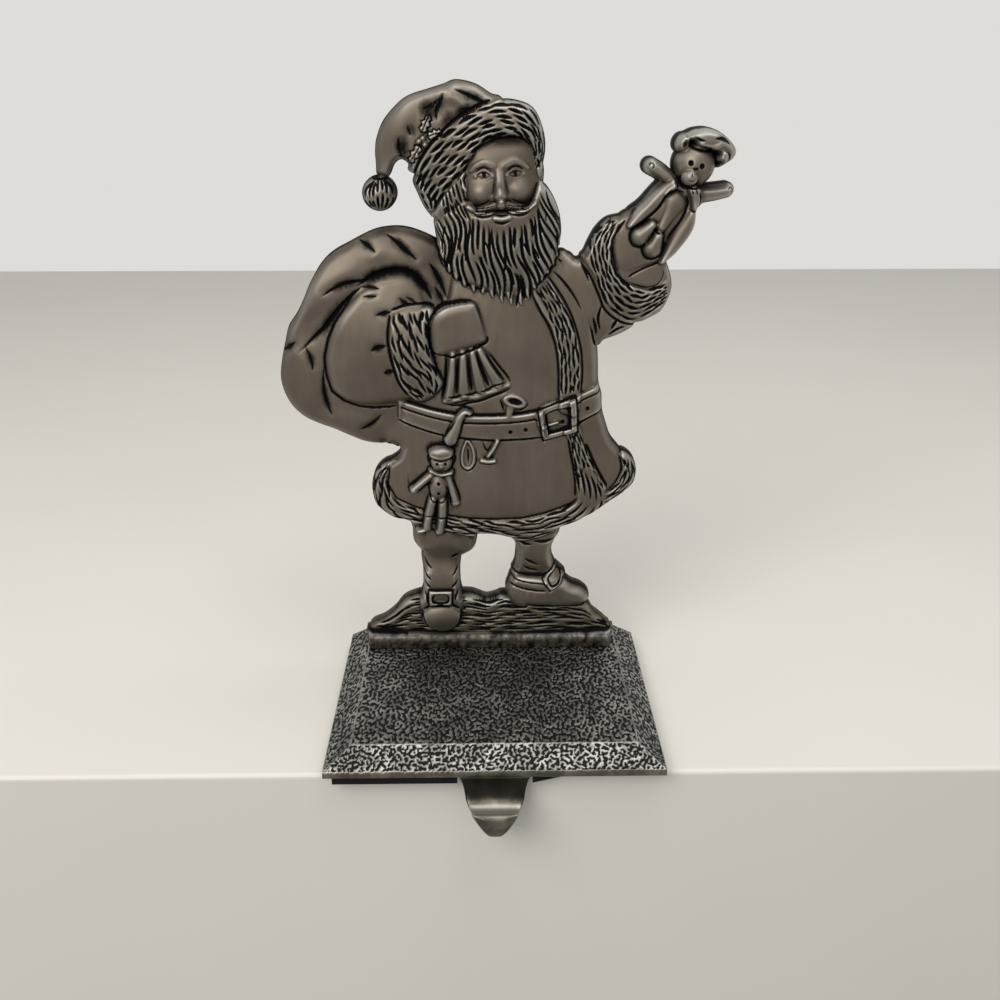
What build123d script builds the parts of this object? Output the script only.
from build123d import *
from math import asin, atan2, cos, pi, radians, sin
import os

# Mantel stocking holder: a bevelled cast base with a hook under its front lip, a cast relief figure
# screwed to the base from below, and a foam pad against the mantel. Sizes are in millimetres.
# The origin is the middle of the base's footprint, on the mantel. +Y points to the wall.

# Base casting
base_width = 108.0
base_depth = 90.8
lip_height = 2.5
bevel_height = 4.8
bevel_inset = 8.3
back_bevel_inset = 2.0
base_wall = 3.0
base_edge_cut = 0.5

# Hook, cast on under the front lip
hook_root_width = 22.5
hook_valley_width = 17.6
hook_setback = 0.3
hook_thickness = 4.8
hook_reach = 13.2
hook_drop = 16.1
hook_fall = 18.6
hook_view_slope = 31.0
hook_valley_reach = 5.0
hook_valley_drop = 8.7
hook_rim_reach = 10.6
hook_rim_drop = 5.7
hook_facet = 1.2

# Pad between the base and the mantel
pad_thickness = 2.3
pad_inset = 2.8
pad_front_inset = 0.5
pad_cut_inset = 4.5
pad_cut_start = 12.0
pad_cut_end = 24.0
hook_clearance = 0.6

# Screws that hold the figure
screw_spacing = 50.0
screw_radius = 1.95
screw_hole_radius = 2.25
screw_tap_clearance = 0.05
screw_head_radius = 3.6
screw_head_height = 2.3
screw_head_clearance = 0.4
screw_socket_width = 2.5
screw_socket_depth = 1.2
screw_grip = 5.6
tap_end_room = 0.8
boss_radius = 6.0

# Figure: the outlines below are drawn on a face whose foot line is drawn_foot and whose top is drawn_top
figure_height = 196.8
figure_back_gap = 8.8
drawn_foot = 8.4
drawn_top = 205.2
foot_depth = 10.0
ground_left = -46.5
ground_right = 44.5
foot_band_height = 5.2
flange_height = 8.0

# Height of the relief over the flat back, at the crown of each form
sack_crown = 11.0
coat_crown = 12.0
skirt_crown = 11.0
arm_crown = 13.5
cuff_crown = 15.0
mitten_crown = 15.5
gather_crown = 13.0
beard_crown = 16.0
face_crown = 14.0
hat_crown = 12.5
brim_crown = 14.5
raised_arm_crown = 9.5
raised_cuff_crown = 12.0
bear_crown = 11.0
leg_crown = 9.5
boot_crown = 11.5
ground_crown = 9.0
edge_height = 4.5
belt_lift = 1.3
buckle_lift = 2.4
fur_lift = 1.1
fold_depth = 1.1
lock_depth = 1.0
lock_count = 13
lock_wave = 0.7
fur_cut_length = 4.2
fur_cut_width = 1.4
fur_cut_depth = 0.9
fur_splay = 0.15
shoulder_slope = 35.0
dome_flats = 9
dome_span = 1.6
facet_length = 4.2
outline_facets = 14
strip_facets = 3
oval_facets = 10
relief_reach = 60.0

lip_bottom = pad_thickness
bevel_bottom = lip_bottom + lip_height
base_top = bevel_bottom + bevel_height
base_front = -base_depth / 2
figure_back = base_depth / 2 - figure_back_gap
scale = figure_height / (drawn_top - drawn_foot)
screw_y = figure_back - foot_depth / 2
screw_places = [(-screw_spacing / 2, screw_y), (screw_spacing / 2, screw_y)]
tap_radius = screw_radius + screw_tap_clearance
boss_bottom = lip_bottom
head_seat = boss_bottom + screw_head_height + screw_head_clearance
screw_tip = base_top + screw_grip


def bevelled_block(wall, roof):
    """Lip and bevel of the base, drawn in by a wall all round and down by a roof."""
    lip_width = base_width - 2 * wall
    lip_depth = base_depth - 2 * wall
    top_width = base_width - 2 * bevel_inset - wall
    top_depth = base_depth - bevel_inset - back_bevel_inset - 1.5 * wall
    top_shift = (bevel_inset - back_bevel_inset) / 2
    upright = (Align.CENTER, Align.CENTER, Align.MIN)
    lip = Pos(0, 0, lip_bottom) * Box(lip_width, lip_depth, lip_height, align=upright)
    foot = Pos(0, 0, bevel_bottom) * Rectangle(lip_width, lip_depth)
    top = Pos(0, top_shift, base_top - roof) * Rectangle(top_width, top_depth)
    return lip + loft([foot.face(), top.face()], ruled=True)


def facets(points, length, periodic=False):
    """Smooth line through the points, cut into short straight facets."""
    curve = Spline(*points, periodic=periodic)
    fewest = outline_facets if periodic else strip_facets
    count = max(fewest, round(curve.length / length))
    last = count if periodic else count + 1
    return [curve @ (step / count) for step in range(last)]


def make_hook():
    """Tapered tongue that runs down from the lip and turns up into a round-bottomed nose."""
    y = base_front + hook_setback
    z = lip_bottom
    root_top = z + lip_height / 2
    rim_lip = hook_reach - hook_rim_reach
    front = [
        (y, z), (y - 0.06 * hook_valley_reach, z - 0.42 * hook_valley_drop),
        (y - 0.4 * hook_valley_reach, z - 0.8 * hook_valley_drop),
        (y - hook_valley_reach, z - hook_valley_drop),
        (y - 0.5 * (hook_valley_reach + hook_rim_reach), z - 0.55 * (hook_valley_drop + hook_rim_drop)),
        (y - hook_rim_reach, z - hook_rim_drop),
    ]
    under = [
        front[-1], (y - hook_reach + 0.2 * rim_lip, z - hook_rim_drop - 0.35 * rim_lip),
        (y - hook_reach, z - hook_rim_drop - 1.15 * rim_lip), (y - 0.8 * hook_reach, z - 0.9 * hook_drop),
        (y - 0.55 * hook_reach, z - hook_drop), (y - 0.15 * hook_reach, z - 0.86 * hook_drop),
        (y + 0.65 * hook_thickness, z - 0.48 * hook_drop), (y + hook_thickness, z),
    ]
    root = [(y + hook_thickness, root_top), (y, root_top)]
    side = Polyline(*facets(front, hook_facet), *facets(under, hook_facet)[1:], *root, close=True)
    bent = extrude(Plane.YZ * make_face(side), amount=hook_root_width, both=True)
    half_root = hook_root_width / 2
    half_valley = hook_valley_width / 2
    right = [
        (half_root, 0), (half_valley + 0.8, -0.26 * hook_fall), (half_valley, -0.45 * hook_fall),
        (0.82 * half_valley, -0.6 * hook_fall), (0.41 * half_valley, -0.86 * hook_fall), (0, -hook_fall),
    ]
    left = [(-across, up) for across, up in reversed(right)]
    edge = facets([*right, *left[1:]], hook_facet)
    outline = Polyline(*edge, (-half_root, hook_thickness), (half_root, hook_thickness), close=True)
    slope = radians(hook_view_slope)
    view = Plane((0, y, z), x_dir=(1, 0, 0), z_dir=(0, -cos(slope), sin(slope)))
    tongue = bent & extrude(view * make_face(outline), amount=3 * hook_reach, both=True)
    nose_radius = hook_reach + 1
    return tongue & Pos(0, y + 1, z - hook_drop) * Cylinder(nose_radius, 4 * hook_drop)


def make_base():
    """Hollow casting with bosses for the screws and the hook in one piece with it."""
    block = bevelled_block(0, 0)
    outside = chamfer(block.faces().sort_by(Axis.Z)[-1].edges(), base_edge_cut)
    inside = bevelled_block(base_wall, base_wall)
    boss_height = base_top - base_wall / 2 - boss_bottom
    upright = (Align.CENTER, Align.CENTER, Align.MIN)
    boss = Cylinder(boss_radius, boss_height, align=upright)
    bosses = [Pos(x, y, boss_bottom) * boss for x, y in screw_places]
    body = outside - inside + bosses + make_hook()
    hole = Cylinder(screw_hole_radius, base_top - lip_bottom, align=upright)
    recess = Cylinder(screw_head_radius + screw_head_clearance, head_seat - boss_bottom, align=upright)
    for x, y in screw_places:
        body -= Pos(x, y, lip_bottom) * hole
        body -= Pos(x, y, boss_bottom) * recess
    return body


def make_pad():
    """Foam sheet, cut out round the hook and trimmed back at the right of it."""
    side = base_width / 2 - pad_inset
    back = base_depth / 2 - pad_inset
    front = base_front + pad_front_inset
    cut = base_front + pad_cut_inset
    slot = hook_root_width / 2 + hook_clearance
    slot_end = base_front + hook_setback + hook_thickness + hook_clearance
    outline = Polyline(
        (-side, front), (-slot, front), (-slot, slot_end), (slot, slot_end), (slot, front),
        (pad_cut_start, front), (pad_cut_end, cut), (side, cut), (side, back), (-side, back), close=True,
    )
    return extrude(make_face(outline), amount=pad_thickness)


def make_screws():
    """Two socket screws, heads up inside the base's bosses."""
    upright = (Align.CENTER, Align.CENTER, Align.MIN)
    head_bottom = head_seat - screw_head_height
    head = Pos(0, 0, head_bottom) * Cylinder(screw_head_radius, screw_head_height, align=upright)
    shank = Pos(0, 0, head_seat) * Cylinder(screw_radius, screw_tip - head_seat, align=upright)
    hexagon = RegularPolygon(screw_socket_width, 6, major_radius=False)
    socket = Pos(0, 0, head_bottom) * extrude(hexagon, amount=screw_socket_depth)
    screw = head + shank - socket
    return Compound(children=[Pos(x, y, 0) * screw for x, y in screw_places])


def at(x, z):
    """Point of the drawing on the figure's back."""
    return (x * scale, (z - drawn_foot) * scale)


def drawn(points):
    """Points of the drawing on the figure's back."""
    return [at(x, z) for x, z in points]


def closed(points):
    """Outline of a form with a smooth edge."""
    return make_face(Polyline(*facets(drawn(points), facet_length, periodic=True), close=True))


def strip(top, bottom):
    """Band between two smooth edges with square ends."""
    edges = [*facets(drawn(top), facet_length), *facets(drawn(bottom), facet_length)]
    return make_face(Polyline(*edges, close=True))


def oval(x, z, across, up, tilt=0.0):
    """Oval outline, turned by a tilt."""
    ring = []
    for step in range(oval_facets):
        angle = 2 * pi * step / oval_facets
        u = across * cos(angle)
        v = up * sin(angle)
        lean = radians(tilt)
        ring.append(at(x + u * cos(lean) - v * sin(lean), z + u * sin(lean) + v * cos(lean)))
    return make_face(Polyline(*ring, close=True))


def four_corners(*corners):
    """Outline with four straight sides."""
    return make_face(Polyline(*drawn(corners), close=True))


def rod(start, end, radius):
    """Outline with two straight sides and round ends."""
    turn = atan2(end[1] - start[1], end[0] - start[0])
    ring = []
    for (x, z), first in ((end, -90), (start, 90)):
        for step in range(5):
            angle = turn + radians(first + 45 * step)
            ring.append(at(x + radius * cos(angle), z + radius * sin(angle)))
    return make_face(Polyline(*ring, close=True))


def dome(x, z, crown, edge, reach):
    """Domed top that stands crown over the back and falls to edge at the reach."""
    fall = crown - edge
    radius = ((reach * scale) ** 2 + fall**2) / (2 * fall)
    across, up = at(x, z)
    spread = asin(min(dome_span * reach * scale / radius, 0.98))
    return (across, up, crown - radius, radius, spread)


def barrel(plane, radius, spread):
    """Long body whose rounded top is cut into flats."""
    turns = [spread * (2 * step / dome_flats - 1) for step in range(dome_flats + 1)]
    top = [(radius * sin(turn), radius * cos(turn)) for turn in turns]
    low = -radius - relief_reach
    section = Polyline(*top, (top[-1][0], low), (top[0][0], low), close=True)
    return extrude(plane * make_face(section), amount=2 * figure_height, both=True)


def cap(ball, lift):
    """Body under a domed top, grown by a lift: rounded from side to side and from head to foot."""
    across, up, depth, radius, spread = ball
    upright = barrel(Plane((0, 0, 0), x_dir=(1, 0, 0), z_dir=(0, -1, 0)), radius + lift, spread)
    lying = barrel(Plane((0, 0, 0), x_dir=(0, 1, 0), z_dir=(1, 0, 0)), radius + lift, spread)
    return Pos(across, up, depth) * (upright & lying)


def mound(face, ball, lift=0.0):
    """Form that rises from the flat back to a domed top."""
    return extrude(face, amount=relief_reach) & cap(ball, lift)


def pin(face, crown, edge):
    """Small form that is upright to its edge and then slopes in to its crown."""
    shoulders = extrude(Pos(0, 0, edge) * face, amount=crown - edge, taper=shoulder_slope)
    return extrude(face, amount=edge) + shoulders


def knob(x, z, across, up, crown, edge, tilt=0.0):
    """Small oval form with sloped shoulders."""
    return pin(oval(x, z, across, up, tilt), crown, edge)


def limb(start, end, radius, crown, edge):
    """Small straight form with round ends."""
    return pin(rod(start, end, radius), crown, edge)


def groove(points, width, depth, ball):
    """Pointed cut with a floor that follows a dome."""
    curve = Spline(*drawn(points))
    steps = max(2, round(curve.length / facet_length))
    left = []
    right = []
    for step in range(1, steps):
        along = step / steps
        tangent = curve % along
        side = Vector(-tangent.Y, tangent.X) * (width * scale / 2 * sin(pi * along) ** 0.5)
        left.append(curve @ along + side)
        right.append(curve @ along - side)
    outline = make_face(Polyline(curve @ 0, *left, curve @ 1, *reversed(right), close=True))
    return extrude(outline, amount=relief_reach) - cap(ball, -depth)


def fur(points, half_width, count, ball, lift=0.0):
    """Rows of short cuts along a fur band, staggered from side to side."""
    curve = Spline(*points)
    across, up, depth, radius, spread = ball
    raised = (across, up, depth, radius + lift, spread)
    cuts = []
    for step in range(count):
        along = (step + 0.5) / count
        middle = curve @ along
        tangent = curve % along
        side = Vector(-tangent.Y, tangent.X) * (half_width * (step % 3 - 1))
        slant = tangent * (fur_cut_length / 2) + side * fur_splay
        tail = middle + side - slant
        tip = middle + side + slant
        cuts.append(groove([(tail.X, tail.Y), (tip.X, tip.Y)], fur_cut_width, fur_cut_depth, raised))
    return cuts


def make_hat():
    crown = closed([
        (-24, 176), (-26.5, 180), (-29, 181), (-32, 177.5), (-34.5, 175), (-36.8, 178), (-36.8, 185),
        (-34, 192.5), (-28, 199), (-20, 202.2), (-11, 205.2), (-4, 203.6), (4, 199), (8, 188), (-8, 174),
    ])
    brim = closed([
        (-24.8, 173.5), (-21, 182), (-11, 193), (0, 198.7), (9, 198.8), (15.2, 194), (17.4, 185),
        (15.6, 176.5), (13.6, 180), (12, 186.3), (5, 188.7), (-2.5, 187), (-8, 179.5), (-14.2, 171),
        (-18.5, 163.5), (-22.5, 167),
    ])
    bag_dome = dome(-12, 186, hat_crown, edge_height + 0.5, 26)
    creases = [
        [(-12, 202.4), (-7, 201), (-2, 198.6)], [(-17, 200), (-19, 196.5)], [(-29.8, 189), (-28.4, 182.6)],
    ]
    bag = mound(crown, bag_dome) - [groove(line, 1.4, fold_depth, bag_dome) for line in creases]
    brim_dome = dome(0, 182, brim_crown, edge_height + 4, 24)
    middle = [(-20, 168), (-15.5, 179), (-7, 189), (3, 193.8), (11, 191.5), (15.4, 184)]
    hair = fur(middle, 2.4, 21, brim_dome)
    trim = mound(brim, brim_dome) - hair
    pompom = knob(-36, 170.7, 5.6, 5.6, 9.5, edge_height)
    leaves = [
        limb((-21.5, 189), (-19.4, 194), 1.7, hat_crown + 1.4, hat_crown),
        limb((-22.5, 187.5), (-24.6, 183.6), 1.7, hat_crown + 0.6, hat_crown - 1),
    ]
    return [bag, trim, pompom, *leaves]


def make_head():
    face = oval(2.5, 177, 15, 15)
    sideburn = [(-19, 163), (-17, 170), (-9, 180), (-4, 174), (-6, 165), (-12, 160)]
    beard = closed([
        (-18.5, 163), (-13, 167), (-4, 166), (6, 166.5), (13, 169.5), (16, 175.5), (20.5, 170), (22.8, 160),
        (21, 151), (15, 143), (8.5, 137.5), (0, 139), (-8, 142), (-15, 150.5),
    ])
    whiskers = [
        (-8, 164), (-2, 168), (3.2, 169.4), (9, 168.2), (15, 165), (9, 163.8), (3.2, 165.6), (-2, 163.4),
    ]
    beard_dome = dome(3, 160, beard_crown, edge_height + 3.5, 24)
    locks = []
    for number in range(lock_count):
        root = -16 + 35 * number / (lock_count - 1)
        tip = 0.88 * root + 1.6
        foot = 141 + 0.035 * (tip - 6) ** 2
        start = 161.5 + 0.02 * (root - 3) ** 2
        bow = ((root + tip) / 2 + lock_wave * (-1) ** number, (start + foot) / 2)
        locks.append(groove([(root, start), bow, (tip, foot)], 1.3, lock_depth, beard_dome))
    head = mound(face, dome(2.5, 175, face_crown, edge_height + 4, 14))
    hair = mound(beard, beard_dome) - locks
    temple = mound(closed(sideburn), dome(-10, 170, face_crown - 1, edge_height + 5, 12))
    moustache = mound(closed(whiskers), dome(3, 165, beard_crown + 1.4, beard_crown - 1, 12))
    nose = knob(3.1, 172.4, 2.4, 3.4, face_crown + 2.6, face_crown)
    cheeks = [knob(x, 171.8, 4.6, 4.2, face_crown + 1, face_crown - 1.6) for x in (-4.6, 10.8)]
    return [head, hair, temple, moustache, nose, *cheeks]


def make_sack():
    outline = closed([
        (-17, 155.5), (-28, 159.2), (-39, 158), (-52, 151.5), (-60, 141.5), (-65, 131.5), (-69.5, 122),
        (-72.3, 109), (-69, 99), (-60, 92.6), (-50, 88), (-40, 84.6), (-31, 85), (-24, 100), (-16, 138),
    ])
    gather = closed([
        (-15, 121), (-15.5, 111), (-17, 104), (-12, 102.6), (-4, 104.6), (6.5, 109), (2, 115), (-4, 123.5),
        (-10, 125),
    ])
    bag_dome = dome(-40, 122, sack_crown, edge_height, 37)
    folds = [
        [(-64, 119), (-55, 130), (-45, 140)], [(-60, 134), (-52, 141), (-40, 147), (-28, 147)],
        [(-43.5, 156), (-37, 152)], [(-34.5, 157.5), (-29, 154.5), (-23, 149.5)], [(-70, 119), (-65, 123)],
        [(-57, 116), (-57.5, 106), (-55, 97)], [(-46, 91.5), (-41, 94), (-37, 98)],
        [(-20, 149.5), (-14, 139)],
    ]
    bag = mound(outline, bag_dome) - [groove(line, 2.0, fold_depth, bag_dome) for line in folds]
    neck_dome = dome(-7, 114, gather_crown + 1.5, gather_crown - 1, 12)
    pleats = [
        [(-13, 119), (-13.5, 105)], [(-9.5, 120), (-8.5, 106)], [(-6, 120), (-3, 107.5)],
        [(-3.5, 119), (2, 110)],
    ]
    neck = mound(gather, neck_dome) - [groove(line, 1.6, fold_depth, neck_dome) for line in pleats]
    return [bag, neck]


def make_coat():
    outline = closed([
        (-20, 147), (0, 150), (20, 151.5), (28, 148), (33.5, 135), (35.6, 120), (36, 106), (39, 95),
        (44.5, 84.5),
        (45, 76), (40, 67), (28, 59), (10, 55.5), (-10, 56.5), (-28, 60), (-38, 66), (-38, 77), (-32.5, 84),
        (-31.5, 98), (-30, 120),
    ])
    torso = dome(3, 108, coat_crown, edge_height + 2, 45)
    coat = mound(outline, torso)
    belt = mound(strip(
        [(-31.5, 103), (-20, 100), (-10, 98.4), (0, 98.1), (9, 98.6), (17.5, 100.2)],
        [(17.8, 90.2), (10, 89.6), (0, 89.3), (-10, 90), (-20, 92), (-32, 96)],
    ), torso, belt_lift)
    belt_end = mound(four_corners((26, 103.4), (36.4, 108), (36.9, 99.5), (27, 94.2)), torso, belt_lift)
    buckle_outline = four_corners((15.3, 100.2), (28.2, 104.2), (29.2, 92.6), (17.2, 89.4))
    buckle_outline -= four_corners((17.8, 98.6), (26, 101.2), (26.7, 94), (19.2, 91.8))
    buckle = mound(buckle_outline, torso, buckle_lift)
    prong = mound(rod((18, 94.6), (24, 96.4), 0.7), torso, buckle_lift)
    facing = mound(strip(
        [(12.5, 141), (19, 130.5), (22, 120), (23, 110), (23, 101)],
        [(29.5, 102), (30.2, 112), (28.5, 127), (24, 138), (18.5, 145)],
    ), torso, fur_lift) - fur([(17, 141), (23, 130), (26, 119), (26.4, 106)], 1.9, 10, torso, fur_lift)
    lower_facing = mound(strip(
        [(24, 93), (26.6, 84), (29.5, 75), (30.5, 65)],
        [(40, 69), (36.5, 78), (32.5, 87), (30, 94)],
    ), torso, fur_lift) - fur([(27.8, 92), (29.6, 85), (32.6, 77), (34.6, 69)], 1.7, 7, torso, fur_lift)
    return [coat, belt, belt_end, buckle, prong, facing, lower_facing]


def make_hem():
    hem = closed([
        (-33.5, 80.4), (-39, 78.5), (-42.4, 71), (-40, 62), (-32, 58), (-16, 54.3), (-6, 53.2),
        (4, 52), (12, 51),
        (22, 54), (32, 58.2), (42, 64.6), (49.3, 71), (50.4, 77.6), (47.5, 83.4), (44, 84),
        (45.2, 77.5), (41, 70),
        (31, 66), (20, 62.2), (6, 59.4), (-8, 59.6), (-24, 62.8), (-34.5, 67.5), (-36.5, 73),
    ])
    hem_dome = dome(4, 74, skirt_crown + 1, edge_height + 2.5, 46)
    middle = [
        (-38, 78), (-39.4, 70), (-34, 63), (-20, 58.6), (-4, 56.4), (10, 55.2), (24, 58.6), (36, 64),
        (45, 70), (47.6, 80),
    ]
    return [mound(hem, hem_dome) - fur(middle, 1.6, 22, hem_dome)]


def make_near_arm():
    sleeve = closed([
        (-21, 138), (-26, 143.5), (-34, 145), (-44, 139.5), (-51.5, 130.5), (-56, 117), (-53, 105.2),
        (-45, 101),
        (-35, 101), (-26, 104), (-22, 122),
    ])
    cuff = closed([
        (-33.6, 132), (-29, 135), (-21, 135.3), (-18.8, 132.5), (-20.6, 123), (-17, 111), (-20, 105),
        (-25, 102.6),
        (-30, 108), (-34, 120),
    ])
    mitten = closed([
        (-20.4, 126), (-18.5, 133), (-12, 136.4), (-6, 136.8), (-3.4, 132), (-1.8, 126), (-5, 122.8),
        (-13, 120),
        (-18.5, 119.8),
    ])
    sleeve_dome = dome(-40, 121, arm_crown, edge_height + 4, 24)
    creases = [[(-43, 141.4), (-36, 140.6)], [(-43, 138.4), (-36.5, 138.8)], [(-40.5, 120.6), (-35, 123)]]
    cuff_dome = dome(-26, 119, cuff_crown, edge_height + 6, 19)
    hair = fur([(-26.5, 134), (-27.4, 126), (-26.4, 116), (-23, 105)], 3.6, 12, cuff_dome)
    return [
        mound(sleeve, sleeve_dome) - [groove(line, 1.0, fold_depth, sleeve_dome) for line in creases],
        mound(cuff, cuff_dome) - hair,
        mound(mitten, dome(-11, 128, mitten_crown, edge_height + 6, 13)),
    ]


def make_raised_arm():
    sleeve = closed([
        (18, 152), (23, 153), (28.5, 150), (34, 155), (46, 148), (50, 134), (47, 126.5), (40, 123),
        (35.5, 120.5),
        (30, 128), (22, 142),
    ])
    cuff = closed([
        (29, 150.4), (32, 156), (37, 162.4), (43, 163.6), (40.4, 158), (39.4, 152), (42, 145), (48, 141.2),
        (55, 140), (59, 145), (59.4, 140), (57, 133.6), (52, 129.2), (46, 128.8), (38.5, 133.6), (33, 144),
    ])
    palm = closed([(39, 153), (41, 160), (47, 163), (55, 158), (60, 148), (56, 141), (48, 141), (41.5, 146)])
    sleeve_dome = dome(38, 138, raised_arm_crown, edge_height + 0.8, 20)
    creases = [[(33.5, 131.5), (35.2, 124.5)], [(39.6, 126.4), (42, 130.4)]]
    cuff_dome = dome(44, 146, raised_cuff_crown, edge_height + 3, 18)
    middle = [(39.6, 161), (35.6, 153), (37.2, 144), (43, 136.6), (51, 134.4), (57, 139)]
    hair = fur(middle, 2.2, 15, cuff_dome)
    return [
        mound(sleeve, sleeve_dome) - [groove(line, 1.0, fold_depth, sleeve_dome) for line in creases],
        mound(cuff, cuff_dome) - hair,
        mound(palm, dome(49, 152, raised_arm_crown, edge_height + 1, 13)),
    ]


def make_bear():
    robe = closed([
        (43.4, 163), (51, 172), (57, 176.5), (66, 175.5), (70, 170), (67, 166), (65, 159), (60, 150),
        (53, 148),
        (44, 156),
    ])
    nightcap = closed([
        (58, 187.5), (61, 191), (67, 191.8), (73, 190), (77.8, 185), (76, 181), (71.5, 178), (71, 183),
        (66, 187.2),
    ])
    return [
        mound(robe, dome(58, 165, bear_crown, edge_height + 0.6, 15)),
        knob(64.5, 181, 6.6, 6.6, bear_crown + 1.6, bear_crown - 3),
        knob(62.4, 176.8, 2.9, 2.6, bear_crown + 3, bear_crown),
        mound(nightcap, dome(67, 185, bear_crown + 2.6, edge_height + 2, 12)),
        knob(58.6, 186.4, 2.4, 2.4, bear_crown - 2, edge_height + 1),
        knob(72.6, 182.4, 2.2, 2.2, bear_crown + 2.4, bear_crown),
        limb((56, 175.5), (50.4, 179.2), 3.0, bear_crown - 1.4, edge_height),
        limb((69, 171), (75.6, 171.8), 3.0, bear_crown - 1.4, edge_height),
        knob(48.6, 158, 3.7, 3.7, bear_crown + 1.4, bear_crown - 1.6),
        knob(53.2, 153.8, 3.7, 3.7, bear_crown + 1.4, bear_crown - 1.6),
    ]


def make_belt_toys():
    front = coat_crown
    return [
        limb((-9.6, 99.4), (-14.4, 89), 1.6, front + belt_lift + 1.6, front + belt_lift),
        knob(-17.6, 85, 3.9, 3.2, front + 3, front + 0.6),
        knob(-17.4, 81.4, 3.3, 3.3, front + 2.4, front),
        knob(-18.6, 72.6, 3.3, 5, front + 1.8, front - 0.8),
        limb((-20.5, 76), (-27, 71.4), 1.5, front + 1, front - 1),
        limb((-15.6, 75.6), (-12.8, 66.6), 1.5, front + 1, front - 1),
        limb((-21, 68), (-23.6, 57.6), 1.7, front + 0.6, front - 1.4),
        limb((-17.8, 68), (-18.9, 56), 1.7, front + 0.8, front - 1.2),
        knob(7.5, 103, 4.4, 2.3, front + 1.6, front, -15),
        limb((1.6, 88.8), (-1.6, 83.4), 0.9, front + 1, front),
        limb((-3.6, 82.2), (0.8, 81.4), 0.9, front + 1, front),
    ]


def make_legs():
    breeches = closed([
        (-29, 60), (-28.6, 50), (-25, 44.6), (-19, 40.8), (-12, 42.6), (-6.6, 46), (-5.4, 54), (-6, 60),
        (-17, 63),
    ])
    stocking = closed([
        (6, 62), (6.4, 50), (8.6, 44), (7, 36), (13, 32.5), (23, 38), (21.4, 46), (24, 54), (22, 62),
        (14, 64),
    ])
    near_boot = closed([
        (-25.4, 46), (-25, 36), (-26.6, 26), (-24, 17), (-18.4, 14.4), (-13, 17), (-10.4, 25), (-11.8, 36),
        (-11.6, 46), (-18, 48),
    ])
    far_shoe = closed([
        (5, 29.5), (8, 24.4), (14, 25), (24, 24.6), (32, 24.2), (35.2, 27.4), (32.5, 32.2), (27, 35),
        (24, 39.4),
        (19, 36.6), (8, 36),
    ])
    boot_dome = dome(-18.4, 30, boot_crown - 1, edge_height + 2, 17)
    shoe_dome = dome(20, 29, boot_crown, edge_height + 3, 17)
    near_buckle = four_corners((-23, 31.6), (-14.6, 31.6), (-14.6, 25.4), (-23, 25.4))
    near_buckle -= four_corners((-21.2, 30), (-16.4, 30), (-16.4, 27), (-21.2, 27))
    far_buckle = four_corners((18.6, 35), (24.4, 39.6), (27.4, 34.8), (21.8, 30.6))
    far_buckle -= four_corners((20.6, 35), (24, 37.4), (25.4, 34.8), (22.4, 32.6))
    return [
        mound(breeches, dome(-17, 52, leg_crown + 0.5, edge_height + 1, 14)),
        mound(stocking, dome(15, 47, leg_crown, edge_height + 1, 17)),
        mound(near_boot, boot_dome),
        mound(near_buckle, boot_dome, buckle_lift),
        knob(-18.5, 20, 7.4, 5.6, boot_crown + 1, ground_crown),
        mound(far_shoe, shoe_dome),
        mound(far_buckle, shoe_dome, buckle_lift),
    ]


def make_ground():
    ridge = [
        (ground_left, 12), (-45, 17.3), (-40, 20), (-36, 24), (-31, 29.6), (-24, 31.4), (-14, 31),
        (-8, 31), (-2, 28.9),
        (4, 30.6), (14, 30), (28, 29), (36, 25.4), (40, 20.5), (ground_right, 13),
    ]
    foot_ends = drawn([(ground_right, drawn_foot), (ground_left, drawn_foot)])
    earth = make_face(Polyline(*facets(drawn(ridge), facet_length), *foot_ends, close=True))
    earth_dome = dome(0, 18, ground_crown, edge_height, 52)
    furrows = [
        [(-40, 17.4), (-33, 18.6), (-28, 17.6)], [(-36, 21.4), (-31, 22.6), (-28, 22)],
        [(-32, 26), (-28.6, 26.6)],
        [(-8, 27), (0, 26.2), (5, 26.8)], [(-8, 22.6), (2, 21.6), (12, 22.2)],
        [(-8, 18), (4, 17.2), (16, 17.8)],
        [(16, 21), (26, 20.4), (34, 21)], [(20, 17), (30, 16.6), (39, 17.4)],
    ]
    corner = (Align.MIN, Align.MIN, Align.MIN)
    left, foot = at(ground_left, drawn_foot)
    width = (ground_right - ground_left) * scale
    band = Pos(left, foot, 0) * Box(width, foot_band_height, foot_depth, align=corner)
    flange = Pos(left + 1, foot, 0) * Box(width - 2, flange_height, foot_depth - 1.5, align=corner)
    relief = mound(earth, earth_dome) - [groove(line, 1.4, fold_depth, earth_dome) for line in furrows]
    return [band, flange, relief]


def make_figure():
    """Relief figure in one casting, tapped underneath for the screws."""
    forms = [
        *make_sack(), *make_coat(), *make_near_arm(), *make_raised_arm(), *make_hat(), *make_head(),
        *make_hem(), *make_legs(), *make_ground(), *make_bear(), *make_belt_toys(),
    ]
    relief = Part() + forms
    wall = Plane((0, figure_back, base_top), x_dir=(1, 0, 0), z_dir=(0, -1, 0))
    figure = wall * relief
    depth = screw_grip + tap_end_room
    tap = Cylinder(tap_radius, depth, align=(Align.CENTER, Align.CENTER, Align.MIN))
    for x, y in screw_places:
        figure -= Pos(x, y, base_top) * tap
    return figure


os.makedirs("parts", exist_ok=True)
export_step(make_base(), "parts/base_casting.step")
export_step(make_figure(), "parts/figure_casting.step")
export_step(make_screws(), "parts/figure_screws.step")
export_step(make_pad(), "parts/base_pad.step")
